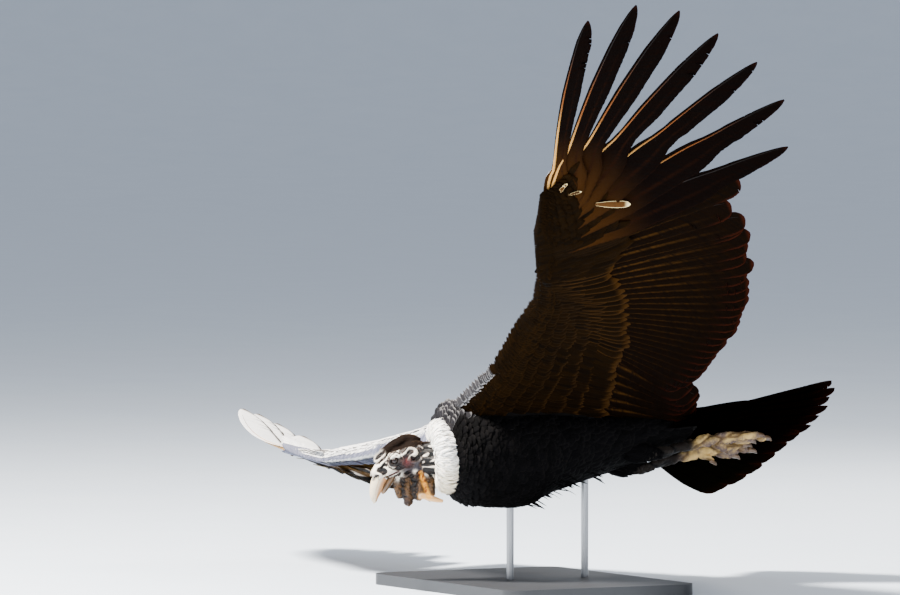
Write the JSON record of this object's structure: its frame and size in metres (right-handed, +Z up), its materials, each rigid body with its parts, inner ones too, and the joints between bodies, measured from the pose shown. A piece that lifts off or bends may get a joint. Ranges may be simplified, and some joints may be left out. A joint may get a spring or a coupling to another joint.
{
  "type": "andean condor display model",
  "caption": "Life-size adult male Andean condor gliding with wings and tail spread, looking down, held banked on rods over a flat base.",
  "frame": {"origin": "centre of the stand base's underside", "axes": "-Z out of the base's underside, so +Z is up; the bird heads towards -Y and its left side is towards +X"},
  "size_m": [2.3805, 1.0917, 1.2524],
  "materials": {
    "plumage_black": "satin",
    "plumage_white": "matte",
    "bare_skin": "satin",
    "comb_skin": "satin",
    "horn": "satin",
    "eye": "gloss",
    "leg_skin": "matte",
    "stand_paint": "satin",
    "stand_steel": "satin"
  },
  "bodies": {
    "root": {"torso": "plumage_black", "wing_left": "plumage_black", "wing_right": "plumage_black", "tail": "plumage_black", "neck": "bare_skin", "ruff": "plumage_white", "head": "bare_skin", "comb": "comb_skin", "wattle": "comb_skin", "beak_upper": "horn", "beak_lower": "horn", "eye_left": "eye", "eye_right": "eye", "leg_left": "leg_skin", "leg_right": "leg_skin", "stand_base": "stand_paint", "stand_rod_front": "stand_steel", "stand_rod_rear": "stand_steel"}
  },
  "joints": []
}
